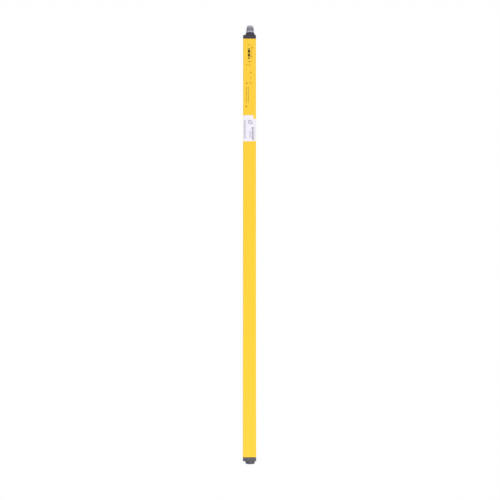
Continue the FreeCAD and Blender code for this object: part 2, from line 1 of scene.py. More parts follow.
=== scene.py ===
"""Looks of an upright safety light curtain bar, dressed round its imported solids.

The bar stands on its swivel axis, +Z up and the window towards +X.  Every place comes
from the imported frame, in metres.  Each sub-assembly is a class that holds its own sizes,
builds its meshes with bmesh and dresses the solids that it owns.
"""
import json
import logging
import math
from dataclasses import dataclass
from enum import Enum
from typing import Iterable, Sequence

import bmesh
import bpy
from mathutils import Matrix, Vector


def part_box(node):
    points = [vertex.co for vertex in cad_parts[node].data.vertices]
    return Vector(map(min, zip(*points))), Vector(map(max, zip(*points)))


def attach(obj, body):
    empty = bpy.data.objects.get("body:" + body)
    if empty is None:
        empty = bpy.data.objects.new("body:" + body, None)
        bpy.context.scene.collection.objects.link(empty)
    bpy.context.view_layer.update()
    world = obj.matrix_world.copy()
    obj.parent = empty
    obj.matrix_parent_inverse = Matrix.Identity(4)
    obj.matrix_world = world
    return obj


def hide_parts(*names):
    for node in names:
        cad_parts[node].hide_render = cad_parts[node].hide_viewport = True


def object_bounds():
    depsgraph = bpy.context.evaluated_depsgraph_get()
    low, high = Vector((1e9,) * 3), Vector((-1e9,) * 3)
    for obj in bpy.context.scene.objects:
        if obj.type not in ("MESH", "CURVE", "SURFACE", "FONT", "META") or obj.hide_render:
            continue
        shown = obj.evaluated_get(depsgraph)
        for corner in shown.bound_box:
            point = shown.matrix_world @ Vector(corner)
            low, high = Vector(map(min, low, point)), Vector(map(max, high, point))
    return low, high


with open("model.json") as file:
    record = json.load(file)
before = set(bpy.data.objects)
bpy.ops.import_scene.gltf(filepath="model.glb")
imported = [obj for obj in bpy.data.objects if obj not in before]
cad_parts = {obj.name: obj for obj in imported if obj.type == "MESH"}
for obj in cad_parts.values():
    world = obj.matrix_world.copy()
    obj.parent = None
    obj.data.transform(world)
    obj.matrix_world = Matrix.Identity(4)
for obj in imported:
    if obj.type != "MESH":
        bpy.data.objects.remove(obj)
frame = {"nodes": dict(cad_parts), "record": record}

CAD_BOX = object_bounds()
MM = 0.001
HAIR = 1e-6
WELD_REACH = 0.002 * MM
LOG = logging.getLogger("light_curtain")

Colour = tuple[float, float, float]


class Grain(Enum):
    """The kinds of fine surface that the finishes choose from."""

    ORANGE_PEEL = "orange_peel"
    SPARK_ETCHED = "spark_etched"
    POLISHED = "polished"
    BRUSHED = "brushed"
    PAPER = "paper"


GRAIN_SCALE: dict[Grain, tuple[float, float, float]] = {
    Grain.ORANGE_PEEL: (900.0, 900.0, 900.0),
    Grain.SPARK_ETCHED: (3200.0, 3200.0, 3200.0),
    Grain.POLISHED: (220.0, 220.0, 60.0),
    Grain.BRUSHED: (2600.0, 2600.0, 120.0),
    Grain.PAPER: (1500.0, 1500.0, 1500.0),
}


def srgb(red: int, green: int, blue: int) -> Colour:
    """Turn a screen colour into the linear one that shaders take.

    Args:
        red: Red, 0 to 255.
        green: Green, 0 to 255.
        blue: Blue, 0 to 255.

    Returns:
        The linear colour.
    """
    def linear(value: int) -> float:
        """One channel, linear."""
        share = value / 255
        return share / 12.92 if share <= 0.04045 else ((share + 0.055) / 1.055) ** 2.4

    return linear(red), linear(green), linear(blue)


Feed = bpy.types.NodeSocket | float | tuple[float, ...]


def feed(tree: bpy.types.NodeTree, node: bpy.types.Node, inputs: dict[str | int, Feed]) -> None:
    """Set or link some inputs of a node.

    Args:
        tree: The node's tree.
        node: The node.
        inputs: The value or the source socket of each input.
    """
    for label, value in inputs.items():
        if isinstance(value, bpy.types.NodeSocket):
            tree.links.new(value, node.inputs[label])
        else:
            node.inputs[label].default_value = value


def add_node(tree: bpy.types.NodeTree, kind: str, inputs: dict[str | int, Feed] | None = None,
             **settings: str | bool | bpy.types.NodeTree) -> bpy.types.Node:
    """Add a shader node and feed its inputs.

    Args:
        tree: The tree that it joins.
        kind: Its type without the leading ShaderNode.
        inputs: The value or the source socket of each input.
        settings: The node's own settings, set before its inputs.

    Returns:
        The node.
    """
    node = tree.nodes.new("ShaderNode" + kind)
    for name, value in settings.items():
        setattr(node, name, value)
    feed(tree, node, inputs or {})
    return node


class ShaderGroups:
    """Node groups that several finishes share, each built once."""

    SPECK_SCALE = 420.0

    def __init__(self) -> None:
        """Build the groups."""
        self.grain = self._grain()
        self.tone = self._tone()

    @staticmethod
    def _group(name: str, inputs: Sequence[tuple[str, str, float]],
               outputs: Sequence[tuple[str, str]]) -> tuple[
                   bpy.types.NodeTree, bpy.types.NodeOutputs, bpy.types.Node]:
        """Make a group with its named sockets.

        Args:
            name: The group's name.
            inputs: Name, socket kind and default of each input.
            outputs: Name and socket kind of each output.

        Returns:
            The group, the sockets of its inputs and its output node.
        """
        tree = bpy.data.node_groups.new(name, "ShaderNodeTree")
        for label, kind, value in inputs:
            socket = tree.interface.new_socket(label, in_out="INPUT", socket_type=kind)
            if kind == "NodeSocketFloat":
                socket.default_value = value
        for label, kind in outputs:
            tree.interface.new_socket(label, in_out="OUTPUT", socket_type=kind)
        source = tree.nodes.new("NodeGroupInput").outputs
        return tree, source, tree.nodes.new("NodeGroupOutput")

    def _grain(self) -> bpy.types.NodeTree:
        """Fine relief, and a roughness that varies in faint smudges."""
        tree, source, sink = self._group(
            "fine_grain",
            [("Vector", "NodeSocketVector", 0.0), ("Roughness", "NodeSocketFloat", 0.4),
             ("Spread", "NodeSocketFloat", 0.1), ("Smudge Scale", "NodeSocketFloat", 14.0)],
            [("Roughness", "NodeSocketFloat"), ("Height", "NodeSocketFloat")])
        fine = add_node(tree, "TexNoise",
                        {"Vector": source["Vector"], "Scale": 1.0, "Detail": 3.0})
        place = add_node(tree, "TexCoord").outputs["Object"]
        smudge = add_node(tree, "TexNoise",
                          {"Vector": place, "Scale": source["Smudge Scale"], "Detail": 4.0})
        centred = add_node(tree, "Math", {0: smudge.outputs["Fac"], 1: 0.5},
                           operation="SUBTRACT")
        spread = add_node(tree, "Math", {0: centred.outputs[0], 1: source["Spread"],
                                         2: source["Roughness"]},
                          operation="MULTIPLY_ADD", use_clamp=True)
        feed(tree, sink, {"Roughness": spread.outputs[0], "Height": fine.outputs["Fac"]})
        return tree

    def _tone(self) -> bpy.types.NodeTree:
        """A colour that drifts a little over the surface, with a faint film of dust."""
        tree, source, sink = self._group(
            "tone_drift",
            [("Colour", "NodeSocketColor", 0.0), ("Second Colour", "NodeSocketColor", 0.0),
             ("Dust Colour", "NodeSocketColor", 0.0), ("Scale", "NodeSocketFloat", 6.0),
             ("Dust", "NodeSocketFloat", 0.02)],
            [("Colour", "NodeSocketColor")])
        place = add_node(tree, "TexCoord").outputs["Object"]
        cloud = add_node(tree, "TexNoise",
                         {"Vector": place, "Scale": source["Scale"], "Detail": 2.0})
        drift = add_node(tree, "Mix", {"Factor": cloud.outputs["Fac"], "A": source["Colour"],
                                       "B": source["Second Colour"]}, data_type="RGBA")
        specks = add_node(tree, "TexNoise",
                          {"Vector": place, "Scale": self.SPECK_SCALE, "Detail": 5.0})
        amount = add_node(tree, "Math", {0: specks.outputs["Fac"], 1: source["Dust"]},
                          operation="MULTIPLY", use_clamp=True)
        film = add_node(tree, "Mix", {"Factor": amount.outputs[0], "A": drift.outputs["Result"],
                                      "B": source["Dust Colour"]}, data_type="RGBA")
        feed(tree, sink, {"Colour": film.outputs["Result"]})
        return tree


@dataclass(frozen=True)
class Finish:
    """One surface finish of the bar: its colours, gloss and fine relief."""

    name: str
    colour: Colour
    second: Colour
    grain: Grain
    roughness: float = 0.4
    spread: float = 0.1
    relief: float = 0.02
    metallic: float = 0.0
    coat: float = 0.0
    coat_roughness: float = 0.12
    transmission: float = 0.0
    ior: float = 1.5
    specular: float = 0.5
    scatter: float = 0.0
    scatter_reach: float = 2.0 * MM
    alpha: float = 1.0
    dust: float = 0.02
    dust_colour: Colour = (0.6, 0.58, 0.54)
    drift: float = 6.0
    bump_strength: float = 0.5

    def material(self, groups: ShaderGroups) -> bpy.types.Material:
        """Build the finish once, or give back the one already built.

        Args:
            groups: The shared node groups.

        Returns:
            The material.
        """
        made = bpy.data.materials.get(self.name + "_finish")
        if made:
            return made
        material = bpy.data.materials.new(self.name + "_finish")
        material.use_nodes = True
        tree = material.node_tree
        place = add_node(tree, "TexCoord").outputs["Object"]
        stretch = add_node(tree, "Mapping", {"Vector": place, "Scale": GRAIN_SCALE[self.grain]})
        tone = add_node(tree, "Group", {
            "Colour": (*self.colour, 1), "Second Colour": (*self.second, 1),
            "Dust Colour": (*self.dust_colour, 1), "Scale": self.drift, "Dust": self.dust,
        }, node_tree=groups.tone)
        grain = add_node(tree, "Group", {
            "Vector": stretch.outputs["Vector"], "Roughness": self.roughness,
            "Spread": self.spread,
        }, node_tree=groups.grain)
        bump = add_node(tree, "Bump", {
            "Strength": self.bump_strength, "Distance": self.relief * MM,
            "Height": grain.outputs["Height"]})
        feed(tree, tree.nodes["Principled BSDF"], {
            "Base Color": tone.outputs["Colour"], "Roughness": grain.outputs["Roughness"],
            "Normal": bump.outputs["Normal"], "Metallic": self.metallic,
            "Coat Weight": self.coat, "Coat Roughness": self.coat_roughness,
            "Transmission Weight": self.transmission, "IOR": self.ior,
            "Specular IOR Level": self.specular, "Subsurface Weight": self.scatter,
            "Subsurface Scale": self.scatter_reach, "Alpha": self.alpha})
        return material


POWDER_COAT = Finish("powder_coat", (0.93, 0.59, 0.022), (0.91, 0.565, 0.018), Grain.ORANGE_PEEL,
                     roughness=0.36, spread=0.1, relief=0.3, specular=0.4, dust=0.012, drift=2.5)
CAP_NYLON = Finish("cap_nylon", (0.02, 0.017, 0.031), (0.028, 0.025, 0.043), Grain.SPARK_ETCHED,
                   roughness=0.46, spread=0.16, relief=0.16, dust=0.03)
# Lighter, bluer copy of the cap nylon with a heavier dust film, for the lower cap: painted sheen
# for the light from below that makes that cap brighter, and dust.
PAINTED_SHEEN_AND_DUST_NYLON = Finish("painted_sheen_and_dust_nylon", (0.05, 0.052, 0.074), (0.064, 0.067, 0.092),
                     Grain.SPARK_ETCHED, roughness=0.42, spread=0.16, relief=0.16, dust=0.07)
FILTER_PANE = Finish("filter_pane", (0.02, 0.0012, 0.002), (0.016, 0.001, 0.0016), Grain.POLISHED,
                     roughness=0.05, spread=0.03, relief=0.004, ior=1.49, alpha=0.42, dust=0.0)
SEAL_RUBBER = Finish("seal_rubber", (0.02, 0.02, 0.021), (0.028, 0.028, 0.03), Grain.SPARK_ETCHED,
                     roughness=0.75, relief=0.04, dust=0.05)
BLACK_MOULDING = Finish("black_moulding", (0.018, 0.018, 0.02), (0.026, 0.026, 0.028),
                        Grain.SPARK_ETCHED, roughness=0.8, relief=0.05, dust=0.0)
LENS_PLASTIC = Finish("lens_plastic", (0.55, 0.06, 0.05), (0.5, 0.05, 0.045), Grain.POLISHED,
                      roughness=0.05, relief=0.002, transmission=0.7, ior=1.49, dust=0.0)
BOARD_RESIST = Finish("board_resist", (0.012, 0.11, 0.045), (0.016, 0.13, 0.05), Grain.POLISHED,
                      roughness=0.3, relief=0.02, coat=0.4, dust=0.0, drift=90.0)
PACKAGE_BLACK = Finish("package_black", (0.025, 0.025, 0.027), (0.035, 0.035, 0.038),
                       Grain.SPARK_ETCHED, roughness=0.6, relief=0.03, dust=0.0)
DIODE_TINT = Finish("diode_tint", (0.05, 0.02, 0.1), (0.06, 0.025, 0.11), Grain.POLISHED,
                    roughness=0.12, relief=0.003, coat=0.6, dust=0.0)
LAMP_MILK = Finish("lamp_milk", (0.6, 0.62, 0.55), (0.55, 0.6, 0.5), Grain.POLISHED,
                   roughness=0.25, relief=0.004, scatter=0.4, dust=0.0)
ZINC_STEEL = Finish("zinc_steel", (0.58, 0.58, 0.6), (0.5, 0.5, 0.53), Grain.BRUSHED,
                    roughness=0.32, relief=0.01, metallic=1.0, dust=0.01)
NICKEL = Finish("nickel", (0.62, 0.6, 0.56), (0.56, 0.54, 0.5), Grain.BRUSHED,
                roughness=0.22, relief=0.006, metallic=1.0, dust=0.0)
CONTACT_GOLD = Finish("contact_gold", (0.85, 0.6, 0.22), (0.8, 0.56, 0.2), Grain.POLISHED,
                      roughness=0.2, relief=0.003, metallic=1.0, dust=0.0)
FLAT_LEAD = Finish("flat_lead", (0.4, 0.4, 0.42), (0.36, 0.36, 0.38), Grain.BRUSHED,
                   roughness=0.45, relief=0.03, dust=0.0)
LABEL_FILM = Finish("label_film", (0.84, 0.81, 0.92), (0.8, 0.77, 0.89), Grain.PAPER,
                    roughness=0.5, relief=0.012, specular=0.35, dust=0.01, drift=30.0)
PRINT_INK = Finish("print_ink", (0.025, 0.022, 0.024), (0.045, 0.04, 0.042), Grain.PAPER,
                   roughness=0.5, relief=0.005, dust=0.0, drift=120.0)
COAT_INK = Finish("coat_ink", (0.085, 0.052, 0.003), (0.12, 0.075, 0.006), Grain.PAPER,
                  roughness=0.6, relief=0.005, specular=0.12, dust=0.0, drift=120.0)
FAINT_INK = Finish("faint_ink", (0.3, 0.165, 0.012), (0.37, 0.21, 0.018), Grain.PAPER,
                   roughness=0.6, relief=0.005, specular=0.2, dust=0.0, drift=120.0)
GREY_INK = Finish("grey_ink", (0.12, 0.115, 0.14), (0.17, 0.16, 0.19), Grain.PAPER,
                  roughness=0.55, relief=0.005, dust=0.0, drift=150.0)
GREEN_INK = Finish("green_ink", (0.16, 0.26, 0.19), (0.21, 0.31, 0.24), Grain.PAPER,
                   roughness=0.55, relief=0.005, dust=0.0, drift=150.0)
VIOLET_INK = Finish("violet_ink", (0.22, 0.15, 0.29), (0.28, 0.19, 0.35), Grain.PAPER,
                    roughness=0.55, relief=0.005, dust=0.0, drift=150.0)

CLOUDY_CAP = Finish("cloudy_cap", (0.3, 0.3, 0.36), (0.26, 0.26, 0.32), Grain.POLISHED,
                    roughness=0.36, spread=0.12, relief=0.03, scatter=0.1, alpha=0.8, dust=0.03)

# Painted shade and highlight up the dust cap: lighter at the rim, darker low on the body where
# the plug shows through, palest at the lit tip.
DUST_CAP_PAINTED_SHADE_AND_HIGHLIGHT: tuple[tuple[float, Colour], ...] = (
    (0.0, srgb(176, 176, 194)), (0.2, srgb(196, 196, 214)), (0.27, srgb(116, 116, 132)),
    (0.5, srgb(130, 130, 144)), (0.72, srgb(172, 172, 184)), (1.0, srgb(234, 234, 240)))

NODE_FINISHES: dict[str, Finish] = {
    "yellow_coat": POWDER_COAT,
    "cap_nylon": CAP_NYLON,
    "window_filter": FILTER_PANE,
    "seal_rubber": SEAL_RUBBER,
    "black_moulding": BLACK_MOULDING,
    "lens_plastic": LENS_PLASTIC,
    "circuit_board": BOARD_RESIST,
    "component_black": PACKAGE_BLACK,
    "diode_plastic": DIODE_TINT,
    "indicator_plastic": LAMP_MILK,
    "screw_steel": ZINC_STEEL,
    "plug_metal": NICKEL,
    "pin_brass": CONTACT_GOLD,
    "ribbon_film": FLAT_LEAD,
    "sticker_paper": LABEL_FILM,
}


@dataclass
class Workshop:
    """Turns finished bmeshes into pieces that ride with the bar."""

    groups: ShaderGroups

    def mesh_object(self, name: str, shape: bmesh.types.BMesh, smooth: float = 40.0,
                    weld: bool = True) -> bpy.types.Object:
        """Close a bmesh into an object at the origin.

        Args:
            name: The object's name.
            shape: The bmesh, freed afterwards.
            smooth: Edges flatter than this many degrees are shaded round.
            weld: Whether doubled points are merged.

        Returns:
            The object.
        """
        if weld:
            bmesh.ops.remove_doubles(shape, verts=shape.verts[:], dist=WELD_REACH)
        bmesh.ops.recalc_face_normals(shape, faces=shape.faces[:])
        mesh = bpy.data.meshes.new(name)
        shape.to_mesh(mesh)
        shape.free()
        mesh.shade_smooth()
        mesh.set_sharp_from_angle(angle=math.radians(smooth))
        piece = bpy.data.objects.new(name, mesh)
        bpy.context.scene.collection.objects.link(piece)
        return piece

    def piece(self, name: str, shape: bmesh.types.BMesh, slot: str, material: bpy.types.Material,
              replaces: Sequence[str] = (), smooth: float = 40.0, weld: bool = True) -> None:
        """Make a dressed piece of the bar from a bmesh.

        Args:
            name: The piece's name.
            shape: The bmesh, freed afterwards.
            slot: The record's material slot; not used.
            material: The piece's material.
            replaces: Solids that the piece stands for.
            smooth: Edges flatter than this many degrees are shaded round.
            weld: Whether doubled points are merged.
        """
        made = self.mesh_object(name, shape, smooth, weld)
        made.data.materials.append(material)
        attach(made, "root")
        nodes = tuple(replaces)
        if nodes:
            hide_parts(*nodes)
        LOG.info("%s: %d faces", made.name, len(made.data.polygons))

    def carve(self, base: bpy.types.Object, name: str, shape: bmesh.types.BMesh,
              operation: str = "DIFFERENCE") -> None:
        """Cut a shape out of a base, or join it, and keep the result in the base.

        Args:
            base: The object that is changed.
            name: The shape's name.
            shape: The bmesh that is used up.
            operation: DIFFERENCE or UNION.
        """
        tool = self.mesh_object(name, shape)
        step = base.modifiers.new("carve", "BOOLEAN")
        step.object = tool
        step.operation = operation
        step.solver = "EXACT"
        bpy.context.view_layer.update()
        cut = bpy.data.meshes.new_from_object(
            base.evaluated_get(bpy.context.evaluated_depsgraph_get()))
        base.modifiers.clear()
        base.data = cut
        bpy.data.objects.remove(tool)


def box_shape(low: Vector, high: Vector) -> bmesh.types.BMesh:
    """A cuboid between two corners.

    Args:
        low: The lowest corner.
        high: The highest corner.

    Returns:
        The bmesh.
    """
    shape = bmesh.new()
    size = Vector(high) - Vector(low)
    place = Matrix.Translation((Vector(high) + Vector(low)) / 2) @ Matrix.Diagonal((*size, 1))
    bmesh.ops.create_cube(shape, size=1.0, matrix=place)
    return shape


def bevel(shape: bmesh.types.BMesh, edges: list[bmesh.types.BMEdge], width: float,
          segments: int = 3) -> None:
    """Round some edges of a bmesh.

    Args:
        shape: The bmesh.
        edges: The edges.
        width: The rounding's reach, in metres.
        segments: How many faces the rounding has.
    """
    bmesh.ops.bevel(shape, geom=edges, offset=width, segments=segments, affect="EDGES",
                    profile=0.5, material=-1, clamp_overlap=True)


def edges_along(edges: Iterable[bmesh.types.BMEdge], axis: int,
                least: float) -> list[bmesh.types.BMEdge]:
    """Choose the edges that reach far enough along one axis.

    Args:
        edges: The edges to choose from.
        axis: 0, 1 or 2 for X, Y or Z.
        least: The reach that an edge has to pass, in metres.

    Returns:
        The chosen edges.
    """
    return [e for e in edges if abs((e.verts[0].co - e.verts[1].co)[axis]) > least]


def edges_at(shape: bmesh.types.BMesh, axis: int, place: float) -> list[bmesh.types.BMEdge]:
    """Choose the edges that lie in one plane across an axis.

    Args:
        shape: The bmesh.
        axis: 0, 1 or 2 for X, Y or Z.
        place: Where the plane crosses the axis, in metres.

    Returns:
        The chosen edges.
    """
    return [e for e in shape.edges if all(abs(v.co[axis] - place) < HAIR for v in e.verts)]


def add_drum(shape: bmesh.types.BMesh, radius: float, depth: float, sides: int,
             place: Matrix = Matrix.Identity(4)) -> list[bmesh.types.BMVert]:
    """Add a capped cylinder, or a prism where the sides are few.

    Args:
        shape: The bmesh that it joins.
        radius: Its radius.
        depth: Its length along its own axis.
        sides: How many sides it has.
        place: Where its middle stands and how it is turned.

    Returns:
        Its points.
    """
    made = bmesh.ops.create_cone(shape, cap_ends=True, segments=sides, radius1=radius,
                                 radius2=radius, depth=depth, matrix=place)
    return made["verts"]


def lathe(outline: Sequence[tuple[float, float]], steps: int, rise: float) -> bmesh.types.BMesh:
    """Turn a closed outline of radius and height pairs round the swivel axis.

    Args:
        outline: Radius and height of each corner, in metres.
        steps: How many faces go round.
        rise: Height that is added to every corner.

    Returns:
        The bmesh.
    """
    shape = bmesh.new()
    ring = [shape.verts.new((radius, 0, height + rise)) for radius, height in outline]
    pairs = zip(ring, ring[1:] + ring[:1])
    edges = [shape.edges.new(pair) for pair in pairs if max(pair[0].co.x, pair[1].co.x) > 0]
    bmesh.ops.spin(shape, geom=ring + edges, axis=(0, 0, 1), cent=(0, 0, 0), steps=steps,
                   angle=math.tau, use_merge=True)
    bmesh.ops.remove_doubles(shape, verts=shape.verts[:], dist=WELD_REACH)
    return shape


def arc_points(centre: tuple[float, float], radius: float, start: float, end: float,
               steps: int) -> list[tuple[float, float]]:
    """Points along an arc of an outline, both ends included.

    Args:
        centre: The arc's centre.
        radius: Its radius.
        start: The angle of its first point, in degrees.
        end: The angle of its last point, in degrees.
        steps: How many chords it has.

    Returns:
        The points.
    """
    turn = (end - start) / steps
    return [(centre[0] + radius * math.cos(math.radians(start + turn * i)),
             centre[1] + radius * math.sin(math.radians(start + turn * i)))
            for i in range(steps + 1)]


@dataclass
class EndCap:
    """A moulded end cap: rounded plate, swivel boss, pockets and four screw sinks."""

    node: str
    shop: Workshop
    bored: bool
    finish: Finish = CAP_NYLON
    corner: float = 3.0 * MM
    rounding: float = 2.5 * MM
    boss_radius: float = 17.0 * MM
    boss_round: float = 1.9 * MM
    boss_foot_share: float = 0.3
    dimple: float = 9.0 * MM
    dimple_round: float = 0.6 * MM
    dimple_depth: float = 1.2 * MM
    plate: float = 14.0 * MM
    bore: float = 12.0 * MM
    sink: float = 3.15 * MM
    sink_depth: float = 8.0 * MM
    hole: float = 1.7 * MM
    wall: float = 3.0 * MM
    column: float = 3.55 * MM
    overcut: float = 1.0 * MM
    inset: tuple[float, float, float] = (5.0 * MM, 8.2 * MM, 4.8 * MM)

    def __post_init__(self) -> None:
        """Read the cap's faces from its solid; out is 1 on a cap that looks up, else -1."""
        self.low, self.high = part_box(self.node)
        ends = (self.low.z, self.high.z)
        self.inner, outer = ends if self.bored else ends[::-1]
        self.out = 1.0 if self.bored else -1.0
        self.face = self.inner + self.out * self.plate
        self.reach = abs(outer - self.inner)

    def plate_body(self) -> bpy.types.Object:
        """The plate, rounded at its corners and round its outer face."""
        foot, top = sorted((self.inner, self.face))
        plate = box_shape(Vector((self.low.x, self.low.y, foot)),
                          Vector((self.high.x, self.high.y, top)))
        bevel(plate, edges_along(plate.edges, 2, self.plate / 2), self.corner, segments=8)
        bevel(plate, edges_at(plate, 2, self.face), self.rounding, segments=6)
        return self.shop.mesh_object(self.node + "_body", plate)

    def boss(self) -> bmesh.types.BMesh:
        """The swivel boss, dimpled in its end where it isn't bored."""
        foot = self.reach * self.boss_foot_share
        outline = [(0.0, foot), (self.boss_radius, foot)]
        outline += arc_points((self.boss_radius - self.boss_round, self.reach - self.boss_round),
                              self.boss_round, 0, 90, steps=7)
        if self.bored:
            outline += [(0.0, self.reach)]
        else:
            outline += [(self.dimple, self.reach)]
            outline += arc_points((self.dimple - self.dimple_round,
                                   self.reach - self.dimple_round),
                                  self.dimple_round, 0, -90, steps=3)
            outline += [(0.0, self.reach - self.dimple_depth)]
        return lathe([(radius, self.out * height) for radius, height in outline], 96, self.inner)

    def hollow(self, base: bpy.types.Object) -> None:
        """Take the crossed pockets out of the plate's inner side.

        Args:
            base: The cap so far.
        """
        rear, front, side = self.inset
        foot, roof = sorted((self.inner - self.out * self.overcut,
                             self.inner + self.out * (self.plate - self.wall)))
        along_y = (self.low.x + rear + self.column, self.high.x - front - self.column,
                   self.high.y - self.wall)
        along_x = (self.low.x + self.wall, self.high.x - self.wall,
                   self.high.y - side - self.column)
        for back, ahead, across in (along_y, along_x):
            pocket = box_shape(Vector((back, -across, foot)), Vector((ahead, across, roof)))
            self.shop.carve(base, "pocket", pocket)

    def bore_plug_hole(self, base: bpy.types.Object) -> None:
        """Bore the boss for the plug.

        Args:
            base: The cap so far.
        """
        foot, top = -self.overcut, self.reach + self.overcut
        hole = lathe([(0.0, foot), (self.bore, foot), (self.bore, top), (0.0, top)], 72,
                     self.inner)
        self.shop.carve(base, "bore", hole)

    def sink_screws(self, base: bpy.types.Object) -> None:
        """Cut the four screw sinks and the clearance holes below them.

        Args:
            base: The cap so far.
        """
        rear, front, side = self.inset
        top = self.face + self.out * self.overcut
        for x in (self.low.x + rear, self.high.x - front):
            for y in (self.low.y + side, self.high.y - side):
                for radius, foot in ((self.sink, self.face - self.out * self.sink_depth),
                                     (self.hole, self.inner - self.out * self.overcut)):
                    cut = bmesh.new()
                    add_drum(cut, radius, abs(top - foot), 40,
                             Matrix.Translation((x, y, (foot + top) / 2)))
                    self.shop.carve(base, "sink", cut)

    def build(self) -> None:
        """Build the cap in place of its solid."""
        base = self.plate_body()
        self.shop.carve(base, "boss", self.boss(), "UNION")
        self.hollow(base)
        if self.bored:
            self.bore_plug_hole(base)
        self.sink_screws(base)
        shape = bmesh.new()
        shape.from_mesh(base.data)
        bpy.data.objects.remove(base)
        self.shop.piece(self.node + "_moulding", shape, "cap_nylon",
                        self.finish.material(self.shop.groups), [self.node], smooth=35)


@dataclass
class CapScrews:
    """The eight socket screws that are sunk in the two caps.

    The flanks are where a thread's crest starts, where it ends and where the root starts
    again, as shares of the pitch.
    """

    shop: Workshop
    head_radius: float = 2.75 * MM
    head_height: float = 2.4 * MM
    head_edge: float = 0.4 * MM
    drive: float = 1.45 * MM
    drive_depth: float = 1.4 * MM
    drive_reach: float = 2.0 * MM
    neck: float = 1.3 * MM
    core: float = 1.08 * MM
    tip_share: float = 0.7
    length: float = 17.0 * MM
    pitch: float = 1.0 * MM
    flanks: tuple[float, float, float] = (0.32, 0.42, 0.74)
    runout: float = 0.5 * MM
    turns: int = 11
    twist: int = 37

    def outline(self) -> list[tuple[float, float]]:
        """Half the section of one screw, its seat at zero and its head upwards."""
        crest, fall, root = (share * self.pitch for share in self.flanks)
        points = [(0.0, -self.length), (self.core * self.tip_share, -self.length)]
        for turn in range(self.turns):
            foot = -self.length + self.pitch * (turn + 0.5)
            points += [(self.core, foot), (self.neck, foot + crest), (self.neck, foot + fall),
                       (self.core, foot + root)]
        points += [(self.neck, points[-1][1] + self.runout), (self.neck, 0.0),
                   (self.head_radius, 0.0)]
        centre = (self.head_radius - self.head_edge, self.head_height - self.head_edge)
        points += arc_points(centre, self.head_edge, 0, 90, steps=4)
        return points + [(0.0, self.head_height)]

    def screw(self) -> bpy.types.Object:
        """One screw, turned and with its hexagon socket."""
        screw = self.shop.mesh_object("screw", lathe(self.outline(), 28, 0.0))
        drive = bmesh.new()
        foot = self.head_height - self.drive_depth
        add_drum(drive, self.drive, self.drive_reach, 6,
                 Matrix.Translation((0, 0, foot + self.drive_reach / 2)))
        self.shop.carve(screw, "drive", drive)
        return screw

    def build(self) -> None:
        """Set a screw in each sink, each stopped at an angle of its own."""
        low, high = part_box("cap_screws")
        screw = self.screw()
        whole = bmesh.new()
        for seat, flip in ((high.z - self.head_height, Matrix.Identity(4)),
                           (low.z + self.head_height, Matrix.Rotation(math.pi, 4, "X"))):
            for x in (low.x + self.head_radius, high.x - self.head_radius):
                for y in (low.y + self.head_radius, high.y - self.head_radius):
                    old = len(whole.verts)
                    whole.from_mesh(screw.data)
                    whole.verts.ensure_lookup_table()
                    turn = Matrix.Rotation(math.radians(old % self.twist), 4, "Z")
                    place = Matrix.Translation((x, y, seat)) @ flip @ turn
                    bmesh.ops.transform(whole, matrix=place, verts=whole.verts[old:])
        bpy.data.objects.remove(screw)
        self.shop.piece("socket_screws", whole, "screw_steel",
                        ZINC_STEEL.material(self.shop.groups), ["cap_screws"], smooth=35)


